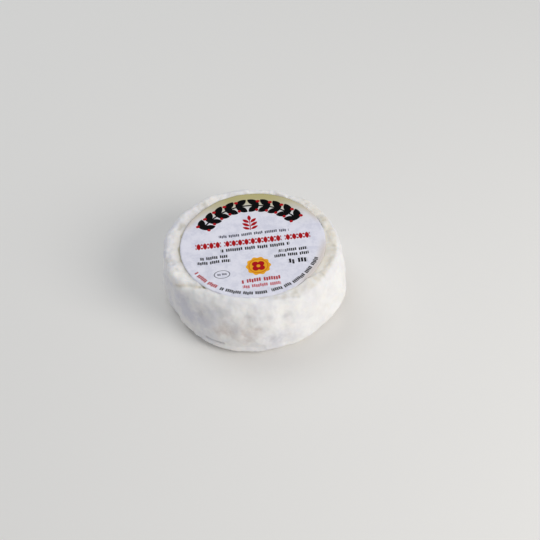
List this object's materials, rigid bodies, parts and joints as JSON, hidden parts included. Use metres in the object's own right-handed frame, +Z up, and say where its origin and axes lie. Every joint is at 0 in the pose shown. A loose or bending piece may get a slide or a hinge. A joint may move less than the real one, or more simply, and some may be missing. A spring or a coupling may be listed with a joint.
{
  "type": "pelardon cheese",
  "caption": "Small round soft goat's cheese with a lumpy white rind, a rolled rim on one side and a round printed paper label on its top.",
  "frame": {"origin": "middle of the flat foot, on the surface the cheese rests on", "axes": "+Z up through the label, +Y towards the label's upper edge, +X to the right of the label"},
  "size_m": [0.0614, 0.0607, 0.0233],
  "materials": {
    "rind": "matt velvety white mould rind, cream in the gutter beside the label",
    "label_paper": "thin coated paper, faintly lavender white, with black, red and gold print"
  },
  "bodies": {
    "root": {"cheese": "rind", "label": "label_paper"}
  },
  "joints": []
}
